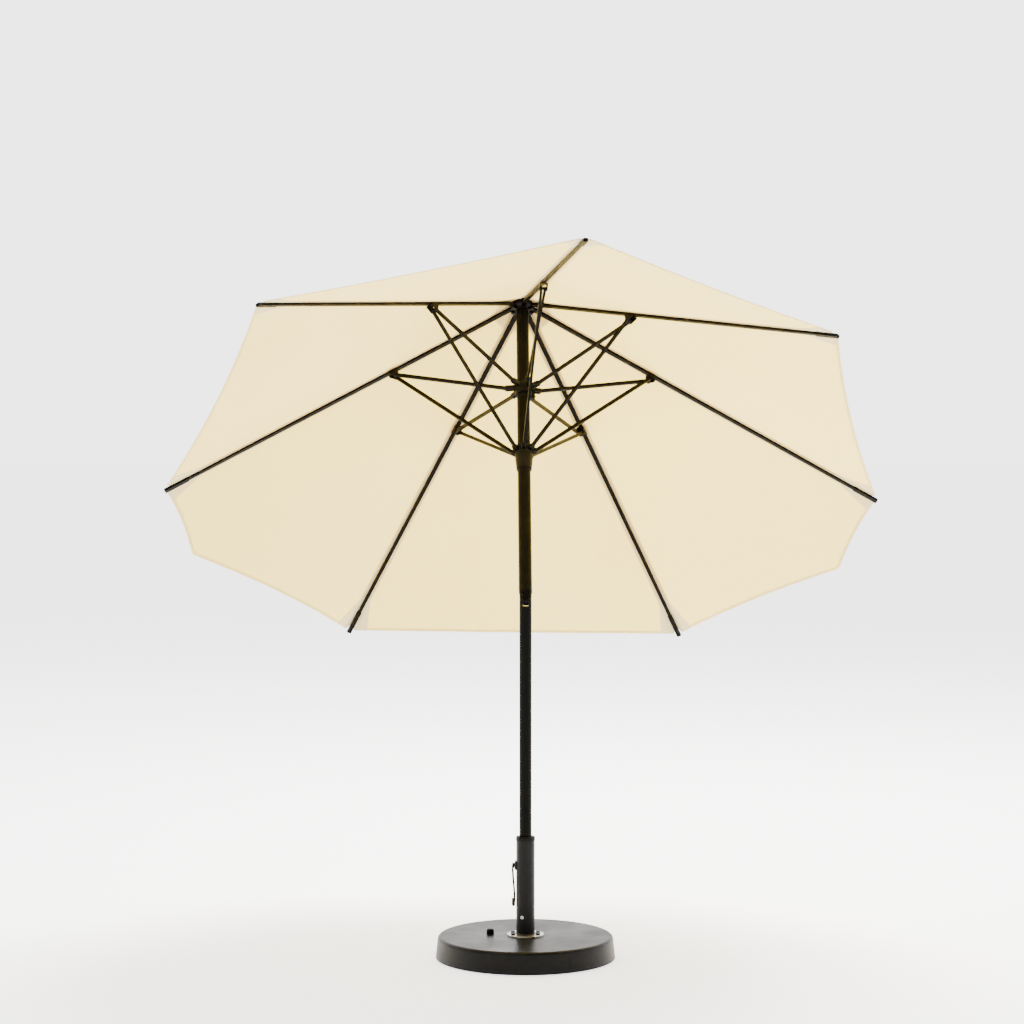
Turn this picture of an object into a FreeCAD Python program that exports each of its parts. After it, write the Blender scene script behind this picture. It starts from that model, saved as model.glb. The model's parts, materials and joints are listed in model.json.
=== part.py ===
import FreeCAD, Part
import math
import os

# Garden umbrella with a filled disc base. Millimetres and degrees, +Z up.
# The origin is the centre of the base's underside, on the ground.
# The upper pole leans towards +Y at rest, and the tilt joint brings it upright.

V = FreeCAD.Vector

# ---- overall sizes ----
RIM_RADIUS = 1350.0        # upper pole axis to the rib tips, open
RIB_SLOPE = 30.0           # ribs below level, open
RIB_CLOSED_SLOPE = 86.0    # ribs below level, folded
RIB_TURNS = (8.0, 53.0, 99.0, 151.5, 211.0, 264.0, 317.0)   # each rib, turned from -Y towards +X
FREE_CORNERS = {2: 115.0, 4: 249.5}    # panel after this rib: turn of a corner of its rim with no rib
TILT = 36.5                # lean of the upper pole at rest
PIVOT_HEIGHT = 1295.0      # ground to the tilt pin
CROWN_HEIGHT = 1325.0      # tilt pin to the plane of the rib pins

# ---- clearances ----
SLIDE_GAP = 0.4            # sleeve on pole, radial
TURN_GAP = 0.3             # turning parts, radial
PIN_GAP = 0.08             # pin in a turning eye, radial
SIDE_GAP = 0.4             # turning part beside a cheek
PANEL_GAP = 0.3            # canopy sector to the middle line of its panel

# ---- base ----
BASE_RADIUS = 316.0          # at the top; the side widens evenly to the foot
BASE_FLARE = 8.0
BASE_HEIGHT = 82.0
BASE_SHOULDER = 12.0
COVER_WALL = 2.5
FOOT_HEIGHT = 4.0
FLOOR_THICKNESS = 3.0
FOOT_RADIUS = 28.0
FOOT_RING = 265.0
FOOT_COUNT = 6
PLATE_MARGIN = 33.5        # plate beyond the tube
PLATE_THICKNESS = 6.0
BOLT_RADIUS = 4.0
BOLT_HEAD_RADIUS = 7.5
BOLT_TURN = 24.0           # bolts, each side of the X axis
BOLT_HEAD_HEIGHT = 5.0
BOLT_REACH = 14.0
TUBE_OVER_POLE = 11.5      # tube outside to the lower pole
TUBE_WALL = 3.0
TUBE_LENGTH = 348.0
WELD_SIZE = 4.0
PLUG_X = -127.0
PLUG_Y = 28.0
PLUG_RADIUS = 13.5
PLUG_HEIGHT = 18.0
PLUG_DOME = 7.0
PLUG_STEM_RADIUS = 10.0
PLUG_STEM_LENGTH = 16.0
PLUG_FLUTES = 12
BUSH_LENGTH = 130.0
BUSH_HEAD = 9.0
BUSH_HEAD_WALL = 0.9
BUSH_TOP = 5.0
SET_SCREW_UP = 64.0        # set screw above the plate
SET_SCREW_TURN = 21.0      # set screw, left of the front
SET_SCREW_RADIUS = 4.0

# ---- clamp ----
CLAMP_UP = 248.0           # clamp screw above the plate
BOSS_REACH = 6.0           # boss proud of the tube
BOSS_WIDTH = 26.0
BOSS_HEIGHT = 30.0
CLAMP_SCREW_RADIUS = 4.5
LEVER_HEAD_RADIUS = 9.5
LEVER_HEAD_LENGTH = 8.0
LEVER_LENGTH = 144.0
LEVER_WIDTH = 9.0
LEVER_THICKNESS = 7.0
LEVER_STANDOFF = 3.0       # lever arm to the tube
LEVER_GRIP_RADIUS = 6.0
LEVER_GRIP_LENGTH = 30.0

# ---- poles and tilt joint ----
LOWER_POLE_RADIUS = 22.0
UPPER_POLE_RADIUS = 24.0
POLE_WALL = 2.5
POLE_SEAT = 0.5            # foot of the lower pole above the plate
FOOT_CAP_RIM = 8.0
FOOT_CAP_DEPTH = 40.0
KNUCKLE_INSET = 2.0        # rounded ends of ears and tongue, inside the lower pole's outline
KNUCKLE_GAP = 2.5          # rounded end to the opposite shoulder
SHOULDER_LENGTH = 28.0
SPIGOT_LENGTH = 45.0
TONGUE_SHARE = 0.45        # half the tongue, as a share of the lower pole's radius
TILT_PIN_RADIUS = 5.0
BUTTON_RADIUS = 7.0
BUTTON_PROUD = 4.0
BUTTON_DEPTH = 9.0

# ---- hub ----
HUB_PIN_OUT = 16.0         # circle of the rib pins beyond the upper pole
HUB_RIM = 8.0              # hub beyond the rib pins
HUB_TOP = 12.0
HUB_BOTTOM = 14.0
HUB_BOSS_RADIUS = 18.0
HUB_SLOT_DEPTH = 12.0      # inner end of each rib slot, inside the rib pins
HUB_SLOT_TOP = 7.0
PIN_RADIUS = 2.6
FINIAL_RADIUS = 32.0
FINIAL_HEIGHT = 26.0
FINIAL_STEM_RADIUS = 5.0

# ---- ribs ----
RIB_WIDTH = 16.0
RIB_DEPTH = 11.0
RIB_TIP_WIDTH = 12.0
RIB_TIP_DEPTH = 8.0
RIB_WALL = 1.2
RIB_ROOT = 16.0            # solid root around the rib pin
BRACKET_ALONG = 531.0      # hub pin to the strut pin, along the rib
BRACKET_DROP = 24.0        # strut pin below the rib's middle
BRACKET_HALF = 20.0
SADDLE_THICKNESS = 3.0
TIP_CAP_LENGTH = 100.0
TIP_CAP_WALL = 2.0

# ---- struts ----
STRUT_WIDTH = 9.0
STRUT_DEPTH = 13.0
STRUT_WALL = 1.2
STRUT_END = 16.0           # solid end around each eye
STRUT_INSET = 2.5          # rib's middle plane to the near side of each strut
CHEEK = 3.0
RIVET_HEAD = 1.5
RIVET_HEAD_RADIUS = 4.8

# ---- collars ----
UPPER_COLLAR_DROP = 384.0  # rib pins to the upper collar's strut pins
LOWER_COLLAR_DROP = 672.0
UPPER_PIN_OUT = 38.0       # circle of the strut pins on the upper collar, beyond the upper pole
LOWER_PIN_OUT = 18.0
COLLAR_WALL = 6.6
COLLAR_ABOVE = 16.0
UPPER_COLLAR_BELOW = 30.0
LOWER_COLLAR_BELOW = 15.0
LUG_HALF = 9.0
SKIRT_LENGTH = 70.0
SKIRT_TOP_WALL = 9.1
SKIRT_FOOT_WALL = 4.1
LATCH_WIDTH = 11.0          # narrow enough for the folded struts on each side
LATCH_OUT = 21.0           # latch box beyond the collar
LATCH_HEIGHT = 40.0
LATCH_BUTTON_RADIUS = 3.8
LATCH_BUTTON_PROUD = 4.0
LATCH_BUTTON_DEPTH = 8.0

# ---- canopy ----
CLOTH = 1.2
CLOTH_OVER_RIB = 1.0
CROWN_HOLE_MARGIN = 4.0    # edge of the cloth's hole beyond the hub's boss
CROWN_CLOTH_UP = 34.0      # cloth above the rib pins, at the crown
CLOTH_KNEE = 190.0         # radius where the cloth comes down onto the ribs

# ---- worked-out sizes ----
RIBS = len(RIB_TURNS)
SLOPE = math.radians(RIB_SLOPE)
CLOSED = math.radians(RIB_CLOSED_SLOPE)
TUBE_RADIUS = LOWER_POLE_RADIUS + TUBE_OVER_POLE
TUBE_BORE = TUBE_RADIUS - TUBE_WALL
PLATE_RADIUS = TUBE_RADIUS + PLATE_MARGIN
PLATE_TOP = BASE_HEIGHT + PLATE_THICKNESS
BOLT_CIRCLE = (TUBE_RADIUS + WELD_SIZE + PLATE_RADIUS) / 2 - 3
TUBE_TOP = PLATE_TOP + TUBE_LENGTH
CLAMP_HEIGHT = PLATE_TOP + CLAMP_UP
POLE_FOOT = PLATE_TOP + POLE_SEAT
KNUCKLE_RADIUS = LOWER_POLE_RADIUS - KNUCKLE_INSET
TONGUE_HALF = LOWER_POLE_RADIUS * TONGUE_SHARE
SHOULDER_START = KNUCKLE_RADIUS + KNUCKLE_GAP
SHOULDER_END = SHOULDER_START + SHOULDER_LENGTH
BUTTON_UP = SHOULDER_END + BUTTON_RADIUS + 4
HUB_PIN_RADIUS = UPPER_POLE_RADIUS + HUB_PIN_OUT
HUB_RADIUS = HUB_PIN_RADIUS + HUB_RIM
UPPER_PIN_RADIUS = UPPER_POLE_RADIUS + UPPER_PIN_OUT
LOWER_PIN_RADIUS = UPPER_POLE_RADIUS + LOWER_PIN_OUT
POLE_BORE = UPPER_POLE_RADIUS + SLIDE_GAP
COLLAR_RADIUS = POLE_BORE + COLLAR_WALL
LATCH_REACH = COLLAR_RADIUS + LATCH_OUT
CROWN_HOLE = HUB_BOSS_RADIUS + CROWN_HOLE_MARGIN
RIB_LENGTH = (RIM_RADIUS - HUB_PIN_RADIUS) / math.cos(SLOPE)
STRUT_SIDE = STRUT_WIDTH / 2 + STRUT_INSET
EYE_RADIUS = STRUT_DEPTH / 2
CHEEK_INNER = STRUT_SIDE + STRUT_WIDTH / 2 + SIDE_GAP


# ---- linkage, in the plane of one rib: (radius, height) from the rib pins' plane ----
def strut_pin(slope):
    """The bracket's strut pin with the rib at this slope below level."""
    along, drop = BRACKET_ALONG, BRACKET_DROP
    radius = HUB_PIN_RADIUS + along * math.cos(slope) - drop * math.sin(slope)
    return radius, -along * math.sin(slope) - drop * math.cos(slope)


def strut_length(pin_radius, drop):
    radius, height = strut_pin(SLOPE)
    return math.hypot(radius - pin_radius, height + drop)


def strut_slope(slope, pin_radius, drop):
    """Angle of the strut below level, seen from the bracket towards the pole."""
    radius, _ = strut_pin(slope)
    return math.acos((radius - pin_radius) / strut_length(pin_radius, drop))


def collar_height(slope, pin_radius, drop):
    _, height = strut_pin(slope)
    return height - strut_length(pin_radius, drop) * math.sin(strut_slope(slope, pin_radius, drop))


# ---- placing ----
def at_rib(shape, number):
    """From the plane of one rib (X outwards, Z up) to its place round the upper pole."""
    shape = shape.copy()
    shape.translate(V(0, 0, CROWN_HEIGHT))
    shape.rotate(V(0, 0, 0), V(0, 0, 1), RIB_TURNS[number] - 90)
    return shape


def leaned(shape):
    """From the upright upper frame, with the tilt pin at its origin, to its place at rest."""
    shape = shape.copy()
    shape.rotate(V(0, 0, 0), V(1, 0, 0), -TILT)
    shape.translate(V(0, 0, PIVOT_HEIGHT))
    return shape


def save(name, *solids):
    shape = solids[0] if len(solids) == 1 else Part.makeCompound(list(solids))
    shape.exportStep("parts/" + name + ".step")


# ---- simple solids ----
def rod(radius, low, high, x=0.0, y=0.0):
    return Part.makeCylinder(radius, high - low, V(x, y, low), V(0, 0, 1))


def ring(outer, inner, low, high):
    return rod(outer, low, high).cut(rod(inner, low - 1, high + 1))


def cross_pin(radius, start, end, x, z):
    """A pin along Y."""
    return Part.makeCylinder(radius, end - start, V(x, start, z), V(0, 1, 0))


def block(x0, x1, y0, y1, z0, z1):
    return Part.makeBox(x1 - x0, y1 - y0, z1 - z0, V(x0, y0, z0))


def turned(points):
    """A solid of revolution about Z from (radius, height) corners."""
    corners = [V(r, 0, z) for r, z in points]
    face = Part.Face(Part.makePolygon(corners + corners[:1]))
    return face.revolve(V(0, 0, 0), V(0, 0, 1), 360)


def plate(points, y0, y1):
    """A flat plate between y0 and y1 from (x, z) corners."""
    corners = [V(x, y0, z) for x, z in points]
    return Part.Face(Part.makePolygon(corners + corners[:1])).extrude(V(0, y1 - y0, 0))


def cover_radius(height):
    """Outside of the base cover at this height."""
    return BASE_RADIUS + BASE_FLARE * (BASE_HEIGHT - height) / (BASE_HEIGHT - FOOT_HEIGHT)


def cover_solid(inset, low, high, round_top):
    """What the cover's outside would enclose, drawn in by an inset, with its top edge rounded."""
    body = Part.makeCone(cover_radius(low) - inset, cover_radius(high) - inset, high - low, V(0, 0, low))
    rim = [e for e in body.Edges if e.Closed and abs(e.CenterOfMass.z - high) < 0.01]
    return body.makeFillet(round_top, rim)


# ---- base ----
def bolt_places():
    turn = math.radians(BOLT_TURN)
    x, y = BOLT_CIRCLE * math.cos(turn), BOLT_CIRCLE * math.sin(turn)
    return [(sx * x, sy * y) for sx in (-1, 1) for sy in (-1, 1)]


def base_cover():
    outer = cover_solid(0, FOOT_HEIGHT, BASE_HEIGHT, BASE_SHOULDER)
    inner = cover_solid(COVER_WALL, FOOT_HEIGHT - 1, BASE_HEIGHT - COVER_WALL, BASE_SHOULDER - COVER_WALL)
    cover = outer.cut(inner)
    cover = cover.cut(rod(PLUG_STEM_RADIUS + 1, 0, BASE_HEIGHT + 1, PLUG_X, PLUG_Y))
    for x, y in bolt_places():
        cover = cover.cut(rod(BOLT_RADIUS + 0.2, 0, BASE_HEIGHT + 1, x, y))
    return cover


def base_floor():
    top = FOOT_HEIGHT + FLOOR_THICKNESS
    return rod(cover_radius(top) - COVER_WALL - 0.2, FOOT_HEIGHT, top)


def sand_fill():
    gap = 0.3
    fill = cover_solid(COVER_WALL + gap, FOOT_HEIGHT + FLOOR_THICKNESS, BASE_HEIGHT - COVER_WALL - gap,
                       BASE_SHOULDER - COVER_WALL)
    plug_room = PLUG_STEM_LENGTH + 6
    fill = fill.cut(rod(PLUG_STEM_RADIUS + 8, BASE_HEIGHT - plug_room, BASE_HEIGHT, PLUG_X, PLUG_Y))
    for x, y in bolt_places():
        fill = fill.cut(rod(BOLT_RADIUS + 2, BASE_HEIGHT - BOLT_REACH - 4, BASE_HEIGHT, x, y))
    return fill


def base_feet():
    pads = [rod(FOOT_RADIUS, 0, FOOT_HEIGHT)]
    for number in range(FOOT_COUNT):
        turn = 2 * math.pi * number / FOOT_COUNT
        pads.append(rod(FOOT_RADIUS, 0, FOOT_HEIGHT, FOOT_RING * math.cos(turn), FOOT_RING * math.sin(turn)))
    return pads


def mount_plate():
    disc = rod(PLATE_RADIUS, BASE_HEIGHT, PLATE_TOP)
    rim = [e for e in disc.Edges if e.Closed and abs(e.CenterOfMass.z - PLATE_TOP) < 0.01]
    disc = disc.makeFillet(PLATE_THICKNESS / 3, rim)
    for x, y in bolt_places():
        disc = disc.cut(rod(BOLT_RADIUS + 0.2, BASE_HEIGHT - 1, PLATE_TOP + 1, x, y))
    return disc


def plate_bolts():
    bolts = []
    for x, y in bolt_places():
        corners = []
        for side in range(6):
            turn = math.radians(60 * side)
            corners.append(V(x + BOLT_HEAD_RADIUS * math.cos(turn), y + BOLT_HEAD_RADIUS * math.sin(turn), PLATE_TOP))
        head = Part.Face(Part.makePolygon(corners + corners[:1])).extrude(V(0, 0, BOLT_HEAD_HEIGHT))
        bolts.append(head.fuse(rod(BOLT_RADIUS, BASE_HEIGHT - BOLT_REACH, PLATE_TOP, x, y)))
    return bolts


def boss_x():
    return -TUBE_RADIUS - BOSS_REACH


def set_screw_axis():
    turn = math.radians(SET_SCREW_TURN)
    return V(-math.sin(turn), -math.cos(turn), 0)


def base_tube():
    tube = rod(TUBE_RADIUS, PLATE_TOP, TUBE_TOP)
    weld = turned([(0, PLATE_TOP), (TUBE_RADIUS + WELD_SIZE, PLATE_TOP), (TUBE_RADIUS, PLATE_TOP + WELD_SIZE),
                   (0, PLATE_TOP + WELD_SIZE)])
    boss = block(boss_x(), 0, -BOSS_WIDTH / 2, BOSS_WIDTH / 2,
                 CLAMP_HEIGHT - BOSS_HEIGHT / 2, CLAMP_HEIGHT + BOSS_HEIGHT / 2)
    corners = [e for e in boss.Edges if abs(e.CenterOfMass.x - boss_x()) < 0.01]
    tube = tube.fuse(weld).fuse(boss.makeFillet(4, corners)).removeSplitter()
    tube = tube.cut(rod(TUBE_BORE, PLATE_TOP - 1, TUBE_TOP + 1))
    reach = TUBE_RADIUS + BOSS_REACH + 1
    tube = tube.cut(Part.makeCylinder(CLAMP_SCREW_RADIUS + TURN_GAP, reach, V(0, 0, CLAMP_HEIGHT), V(-1, 0, 0)))
    low = V(0, 0, PLATE_TOP + SET_SCREW_UP)
    return tube.cut(Part.makeCylinder(SET_SCREW_RADIUS, TUBE_RADIUS + 2, low, set_screw_axis()))


def tube_screw():
    axis = set_screw_axis()
    start = V(0, 0, PLATE_TOP + SET_SCREW_UP)
    shank = Part.makeCylinder(SET_SCREW_RADIUS, TUBE_WALL + 1, start + axis * TUBE_BORE, axis)
    head = Part.makeCylinder(SET_SCREW_RADIUS + 2, 3, start + axis * (TUBE_RADIUS + 0.2), axis)
    return shank.fuse(head).cut(Part.makeCylinder(2, 2, start + axis * (TUBE_RADIUS + 1.8), axis))


def clamp_lever():
    """The clamp screw, its head and the bowed arm that hangs beside the tube."""
    head_in = boss_x() - SIDE_GAP
    head_out = head_in - LEVER_HEAD_LENGTH
    tip = TUBE_BORE + 0.4
    centre = V(head_out, 0, CLAMP_HEIGHT)
    screw = Part.makeCylinder(CLAMP_SCREW_RADIUS, -tip - head_out, centre, V(1, 0, 0))
    head = Part.makeCylinder(LEVER_HEAD_RADIUS, LEVER_HEAD_LENGTH, centre, V(1, 0, 0))
    inner_x = -TUBE_RADIUS - LEVER_STANDOFF
    clear = math.hypot(BOSS_WIDTH, BOSS_HEIGHT) / 2 / LEVER_LENGTH
    drops = (0.0, clear, 0.45, 0.7, 1.0)
    shifts = (head_in - 2.5, head_in - 2.5, (head_in + inner_x) / 2 - 1, inner_x, inner_x - 1.5)
    inner = [V(x, 0, CLAMP_HEIGHT - d * LEVER_LENGTH) for x, d in zip(shifts, drops)]
    outer = [p - V(LEVER_THICKNESS, 0, 0) for p in inner]
    sides = []
    for points in (inner, list(reversed(outer))):
        curve = Part.BSplineCurve()
        curve.interpolate(points)
        sides.append(curve.toShape())
    foot = Part.LineSegment(inner[-1], outer[-1]).toShape()
    top = Part.LineSegment(outer[0], inner[0]).toShape()
    face = Part.Face(Part.Wire([sides[0], foot, sides[1], top]))
    arm = face.extrude(V(0, LEVER_WIDTH, 0))
    arm.translate(V(0, -LEVER_WIDTH / 2, 0))
    grip_low = CLAMP_HEIGHT - LEVER_LENGTH - 4
    grip = rod(LEVER_GRIP_RADIUS, grip_low, grip_low + LEVER_GRIP_LENGTH, inner_x - LEVER_THICKNESS, 0)
    grip = grip.makeFillet(LEVER_GRIP_RADIUS / 2, [e for e in grip.Edges if e.Closed])
    return screw.fuse(head).fuse(arm).fuse(grip)


def filler_plug():
    low = BASE_HEIGHT + 0.2
    knob = rod(PLUG_RADIUS, low, low + PLUG_HEIGHT, PLUG_X, PLUG_Y)
    rim = [e for e in knob.Edges if e.Closed and abs(e.CenterOfMass.z - low - PLUG_HEIGHT) < 0.01]
    knob = knob.makeFillet(PLUG_DOME, rim)
    for number in range(PLUG_FLUTES):
        turn = 2 * math.pi * number / PLUG_FLUTES
        reach = PLUG_RADIUS + 1.2
        x, y = PLUG_X + reach * math.cos(turn), PLUG_Y + reach * math.sin(turn)
        knob = knob.cut(rod(2.2, low + 3, low + PLUG_HEIGHT + 1, x, y))
    return knob.fuse(rod(PLUG_STEM_RADIUS, BASE_HEIGHT - PLUG_STEM_LENGTH, low, PLUG_X, PLUG_Y))


# ---- lower pole and tilt joint ----
def pole_bush():
    """A sleeve in the tube's mouth, with a head that caps the tube."""
    bore = LOWER_POLE_RADIUS + TURN_GAP
    head_radius = TUBE_RADIUS + TURN_GAP + BUSH_HEAD_WALL
    sleeve = TUBE_BORE - TURN_GAP
    low, skirt, top = TUBE_TOP - BUSH_LENGTH, TUBE_TOP - BUSH_HEAD, TUBE_TOP + TURN_GAP + BUSH_TOP
    return turned([(bore, low), (sleeve, low), (sleeve, TUBE_TOP + TURN_GAP),
                   (TUBE_RADIUS + TURN_GAP, TUBE_TOP + TURN_GAP), (TUBE_RADIUS + TURN_GAP, skirt),
                   (head_radius, skirt), (head_radius, top - 2), (head_radius - 2, top),
                   (bore + 2, top), (bore, top - 2)])


def lower_pole():
    return ring(LOWER_POLE_RADIUS, LOWER_POLE_RADIUS - POLE_WALL, POLE_FOOT + FOOT_CAP_RIM,
                PIVOT_HEIGHT - SHOULDER_END)


def pole_foot_cap():
    rim = rod(LOWER_POLE_RADIUS, POLE_FOOT, POLE_FOOT + FOOT_CAP_RIM)
    edge = [e for e in rim.Edges if e.Closed and abs(e.CenterOfMass.z - POLE_FOOT) < 0.01]
    plug = rod(LOWER_POLE_RADIUS - POLE_WALL, POLE_FOOT + FOOT_CAP_RIM, POLE_FOOT + FOOT_CAP_DEPTH)
    return rim.makeFillet(2, edge).fuse(plug)


def pin_axis_rod(radius, half_length):
    return Part.makeCylinder(radius, 2 * half_length, V(-half_length, 0, 0), V(1, 0, 0))


def knuckle_end(radius):
    """A flat-sided end, rounded about the tilt pin, reaching down to the shoulder."""
    round_end = pin_axis_rod(radius, 60)
    return round_end.fuse(block(-60, 60, -radius, radius, -SHOULDER_START - 1, 0))


def tilt_socket():
    """Two ears about the tilt pin on a spigot that fills the top of the lower pole."""
    body = rod(LOWER_POLE_RADIUS, -SHOULDER_START - 1, KNUCKLE_RADIUS).common(knuckle_end(KNUCKLE_RADIUS))
    gap = TONGUE_HALF + SIDE_GAP
    body = body.cut(block(-gap, gap, -60, 60, -SHOULDER_START, 60))
    body = body.fuse(rod(LOWER_POLE_RADIUS, -SHOULDER_END, -SHOULDER_START))
    body = body.fuse(rod(LOWER_POLE_RADIUS - POLE_WALL, -SHOULDER_END - SPIGOT_LENGTH, -SHOULDER_END))
    body = body.cut(pin_axis_rod(TILT_PIN_RADIUS, 60)).removeSplitter()
    body.translate(V(0, 0, PIVOT_HEIGHT))
    return body


def tilt_pin():
    pin = pin_axis_rod(TILT_PIN_RADIUS, LOWER_POLE_RADIUS - 1.5)
    pin.translate(V(0, 0, PIVOT_HEIGHT))
    return pin


def tilt_knuckle():
    """The tongue between the ears, on a spigot that fills the foot of the upper pole."""
    tongue = knuckle_end(KNUCKLE_RADIUS)
    tongue.rotate(V(0, 0, 0), V(1, 0, 0), 180)
    tongue = tongue.common(block(-TONGUE_HALF, TONGUE_HALF, -60, 60, -60, SHOULDER_START + 1))
    shoulder = turned([(0, SHOULDER_START), (LOWER_POLE_RADIUS, SHOULDER_START),
                       (UPPER_POLE_RADIUS, SHOULDER_START + 8), (UPPER_POLE_RADIUS, SHOULDER_END),
                       (UPPER_POLE_RADIUS - POLE_WALL, SHOULDER_END),
                       (UPPER_POLE_RADIUS - POLE_WALL, SHOULDER_END + SPIGOT_LENGTH),
                       (0, SHOULDER_END + SPIGOT_LENGTH)])
    body = tongue.fuse(shoulder).cut(pin_axis_rod(TILT_PIN_RADIUS + PIN_GAP, 60))
    return leaned(body.cut(button_room()))


def button_room():
    """The blind hole that the tilt button slides in."""
    start = UPPER_POLE_RADIUS - BUTTON_DEPTH - BUTTON_PROUD - 1
    return Part.makeCylinder(BUTTON_RADIUS + TURN_GAP, 60, V(0, start, BUTTON_UP), V(0, 1, 0))


def tilt_button():
    start = V(0, UPPER_POLE_RADIUS - BUTTON_DEPTH, BUTTON_UP)
    button = Part.makeCylinder(BUTTON_RADIUS, BUTTON_DEPTH + BUTTON_PROUD, start, V(0, 1, 0))
    face = UPPER_POLE_RADIUS + BUTTON_PROUD
    outer = [e for e in button.Edges if e.Closed and abs(e.CenterOfMass.y - face) < 0.01]
    return leaned(button.makeFillet(1.5, outer))


# ---- upper pole and hub ----
def upper_pole():
    tube = ring(UPPER_POLE_RADIUS, UPPER_POLE_RADIUS - POLE_WALL, SHOULDER_END, CROWN_HEIGHT - HUB_BOTTOM)
    return leaned(tube.cut(button_room()))


def crown_hub():
    body = turned([(0, -HUB_BOTTOM - SPIGOT_LENGTH), (UPPER_POLE_RADIUS - POLE_WALL, -HUB_BOTTOM - SPIGOT_LENGTH),
                   (UPPER_POLE_RADIUS - POLE_WALL, -HUB_BOTTOM), (HUB_RADIUS - 5, -HUB_BOTTOM),
                   (HUB_RADIUS, -HUB_BOTTOM + 5), (HUB_RADIUS, HUB_TOP - 4), (HUB_RADIUS - 4, HUB_TOP),
                   (HUB_BOSS_RADIUS, HUB_TOP), (HUB_BOSS_RADIUS, CROWN_CLOTH_UP), (0, CROWN_CLOTH_UP)])
    body.translate(V(0, 0, CROWN_HEIGHT))
    half = RIB_WIDTH / 2 + SIDE_GAP
    for number in range(RIBS):
        slot = block(HUB_PIN_RADIUS - HUB_SLOT_DEPTH, HUB_RADIUS + 10, -half, half, -HUB_BOTTOM - 5, HUB_SLOT_TOP)
        hole = cross_pin(PIN_RADIUS, -half - 5, half + 5, HUB_PIN_RADIUS, 0)
        body = body.cut(at_rib(slot.fuse(hole), number))
    stem_hole = rod(FINIAL_STEM_RADIUS, CROWN_HEIGHT - HUB_BOTTOM, CROWN_HEIGHT + 60)
    return leaned(body.cut(stem_hole))


def hub_pins():
    half = RIB_WIDTH / 2 + SIDE_GAP + 5
    pin = cross_pin(PIN_RADIUS, -half, half, HUB_PIN_RADIUS, 0)
    return [leaned(at_rib(pin, number)) for number in range(RIBS)]


def finial():
    low = CROWN_HEIGHT + CROWN_CLOTH_UP + 2.5
    cap = turned([(0, low), (FINIAL_RADIUS, low), (FINIAL_RADIUS - 3, low + 6), (14, low + FINIAL_HEIGHT - 10),
                  (10, low + FINIAL_HEIGHT), (0, low + FINIAL_HEIGHT)])
    return leaned(cap.fuse(rod(FINIAL_STEM_RADIUS, CROWN_HEIGHT - HUB_BOTTOM, low)))


# ---- collars ----
def lug_pair(pin_radius, side):
    """Two cheeks for one strut, with closed rivet heads outside; the strut's eye swings free between them."""
    middle = side * STRUT_SIDE
    gap = STRUT_WIDTH / 2 + SIDE_GAP
    pair = None
    for hand in (-1, 1):
        inner = middle + hand * gap
        outer = inner + hand * CHEEK
        low, high = min(inner, outer), max(inner, outer)
        cheek = block(COLLAR_RADIUS - 6, pin_radius, low, high, -LUG_HALF, LUG_HALF)
        cheek = cheek.fuse(cross_pin(LUG_HALF, low, high, pin_radius, 0))
        head_low = outer if hand > 0 else outer - RIVET_HEAD
        cheek = cheek.fuse(cross_pin(RIVET_HEAD_RADIUS, head_low, head_low + RIVET_HEAD, pin_radius, 0))
        pair = cheek if pair is None else pair.fuse(cheek)
    return pair


def collar(drop, pin_radius, side, below):
    body = rod(COLLAR_RADIUS, CROWN_HEIGHT - drop - below, CROWN_HEIGHT - drop + COLLAR_ABOVE)
    for number in range(RIBS):
        lugs = lug_pair(pin_radius, side)
        lugs.translate(V(0, 0, -drop))
        body = body.fuse(at_rib(lugs, number))
    return body


def pole_bore():
    return rod(POLE_BORE, 0, CROWN_HEIGHT)


def latch_turn():
    """Midway between the third rib and the fourth."""
    return (RIB_TURNS[2] + RIB_TURNS[3]) / 2 - 90


def latch_height():
    return CROWN_HEIGHT - UPPER_COLLAR_DROP - UPPER_COLLAR_BELOW - 4 + LATCH_HEIGHT / 2


def latch_rod(radius, start, end):
    rod_ = Part.makeCylinder(radius, end - start, V(start, 0, latch_height()), V(1, 0, 0))
    rod_.rotate(V(0, 0, 0), V(0, 0, 1), latch_turn())
    return rod_


def upper_collar():
    body = collar(UPPER_COLLAR_DROP, UPPER_PIN_RADIUS, 1, UPPER_COLLAR_BELOW)
    half = LATCH_WIDTH / 2
    middle = latch_height()
    box = block(COLLAR_RADIUS - 6, LATCH_REACH, -half, half, middle - LATCH_HEIGHT / 2, middle + LATCH_HEIGHT / 2)
    edges = [e for e in box.Edges if abs(e.CenterOfMass.x - LATCH_REACH) < 0.01]
    box = box.makeFillet(3, edges)
    box.rotate(V(0, 0, 0), V(0, 0, 1), latch_turn())
    room = latch_rod(LATCH_BUTTON_RADIUS + TURN_GAP, LATCH_REACH - LATCH_BUTTON_DEPTH - 5, LATCH_REACH + 5)
    return leaned(body.fuse(box).cut(room).cut(pole_bore()))


def collar_latch():
    button = latch_rod(LATCH_BUTTON_RADIUS, LATCH_REACH - LATCH_BUTTON_DEPTH, LATCH_REACH + LATCH_BUTTON_PROUD)
    return leaned(button)


def lower_collar():
    return leaned(collar(LOWER_COLLAR_DROP, LOWER_PIN_RADIUS, -1, LOWER_COLLAR_BELOW).cut(pole_bore()))


def runner_skirt():
    top = CROWN_HEIGHT - LOWER_COLLAR_DROP - LOWER_COLLAR_BELOW
    low = top - SKIRT_LENGTH
    foot, head = POLE_BORE + SKIRT_FOOT_WALL, POLE_BORE + SKIRT_TOP_WALL
    return leaned(turned([(POLE_BORE, low), (foot - 1.5, low), (foot, low + 1.5), (head, top - 12),
                          (head, top - 1.5), (head - 1.5, top), (POLE_BORE, top)]))


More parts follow.
